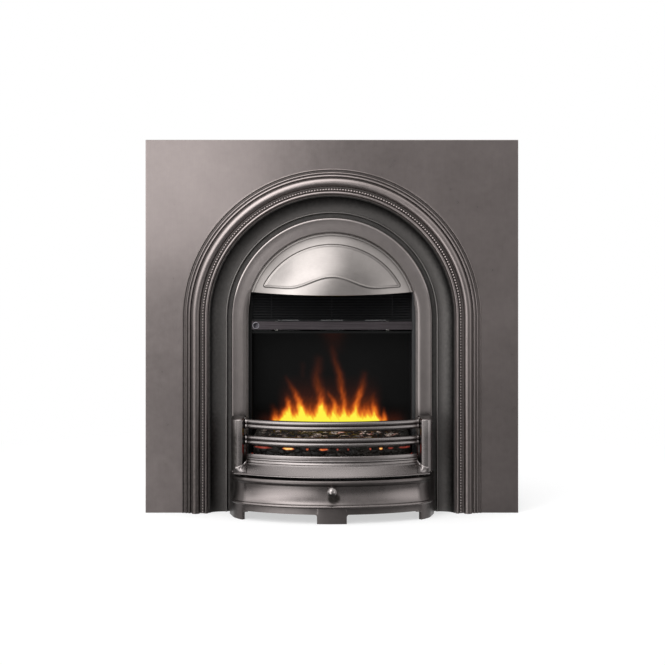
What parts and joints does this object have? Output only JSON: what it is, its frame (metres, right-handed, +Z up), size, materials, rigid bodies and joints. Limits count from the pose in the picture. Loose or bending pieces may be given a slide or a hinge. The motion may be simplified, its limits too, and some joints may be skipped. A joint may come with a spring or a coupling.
{
  "type": "electric fireplace insert",
  "caption": "Square cast-iron fireplace front with a moulded arch, bowed hood, fret and ash cover, and an electric flame-effect fan heater in a steel case behind.",
  "frame": {"origin": "on the hearth, under the middle of the insert's box", "axes": "+Z up, -Y towards the viewer, +X to the viewer's right"},
  "size_m": [0.965, 0.3856, 0.965],
  "materials": {
    "polished_iron": "polished",
    "black_iron": "matt black",
    "black_steel": "satin black",
    "zinc_steel": "zinc plated",
    "brushed_fascia": "brushed dark",
    "bright_knob": "polished",
    "dark_glass": "dark gloss",
    "black_plastic": "satin",
    "coal": "rough",
    "circuit_green": "satin",
    "brass": "machined",
    "ceramic": "unglazed",
    "bright_foil": "mirror",
    "white_plastic": "satin"
  },
  "bodies": {
    "insert": {"surround_plate": "polished_iron", "arch_reveal": "black_iron", "inner_frame": "polished_iron", "hood": "polished_iron", "hood_screw_1": "zinc_steel", "hood_screw_2": "zinc_steel", "frame_screw_1": "zinc_steel", "frame_screw_2": "zinc_steel", "frame_screw_3": "zinc_steel", "frame_screw_4": "zinc_steel", "reveal_bolt_1": "zinc_steel", "reveal_bolt_2": "zinc_steel", "reveal_bolt_3": "zinc_steel", "case": "black_steel", "case_screw_1": "zinc_steel", "case_screw_2": "zinc_steel", "rear_cover": "black_steel", "rear_cover_screw_1": "zinc_steel", "rear_cover_screw_2": "zinc_steel", "rear_cover_screw_3": "zinc_steel", "rear_cover_screw_4": "zinc_steel", "foot_rail_left": "black_plastic", "foot_rail_right": "black_plastic", "outlet_grille": "black_plastic", "fascia_bar": "brushed_fascia", "button_bezel": "bright_knob", "button_switch": "black_plastic", "remote_sensor": "dark_glass", "screen_trim_left": "black_steel", "screen_trim_right": "black_steel", "chamber_ceiling": "black_steel", "heater_deck": "zinc_steel", "flame_screen": "dark_glass", "spindle_motor": "zinc_steel", "spindle_bearing": "black_plastic", "light_board": "circuit_green", "light_shelf": "zinc_steel", "fuel_bed": "coal", "fuel_tray": "black_steel", "blower_housing": "zinc_steel", "blower_motor": "zinc_steel", "blower_bush": "brass", "element_frame": "ceramic", "element_wire": "zinc_steel", "thermal_cutout": "black_plastic", "control_board": "circuit_green", "board_carrier": "black_plastic", "lamp_driver": "white_plastic", "terminal_block": "white_plastic", "mains_inlet": "black_plastic"},
    "fret": {"fret_base": "polished_iron", "fret_post_left": "polished_iron", "fret_post_right": "polished_iron", "fret_bar_upper": "polished_iron", "fret_bar_lower": "polished_iron"},
    "ash_cover": {"ash_cover": "polished_iron", "ash_knob": "bright_knob"},
    "power_button": {"power_button": "bright_knob"},
    "flame_spindle": {"flame_spindle": "bright_foil"},
    "blower_wheel": {"blower_wheel": "zinc_steel"}
  },
  "joints": [
    {"name": "fret_lift", "type": "slide", "parent": "insert", "child": "fret", "axis": [0, 0, 1], "range_m": [0, 0.1]},
    {"name": "ash_cover_pull", "type": "slide", "parent": "insert", "child": "ash_cover", "axis": [0, -1, 0], "range_m": [0, 0.15]},
    {"name": "power_button_press", "type": "slide", "parent": "insert", "child": "power_button", "axis": [0, 1, 0], "range_m": [0, 0.002], "stiffness_N_per_m": 400},
    {"name": "flame_spindle_turn", "type": "hinge", "parent": "insert", "child": "flame_spindle", "pos_m": [0, 0.132, 0.195], "axis": [1, 0, 0], "continuous": true},
    {"name": "blower_wheel_turn", "type": "hinge", "parent": "insert", "child": "blower_wheel", "pos_m": [0, 0.122, 0.528], "axis": [1, 0, 0], "continuous": true}
  ]
}
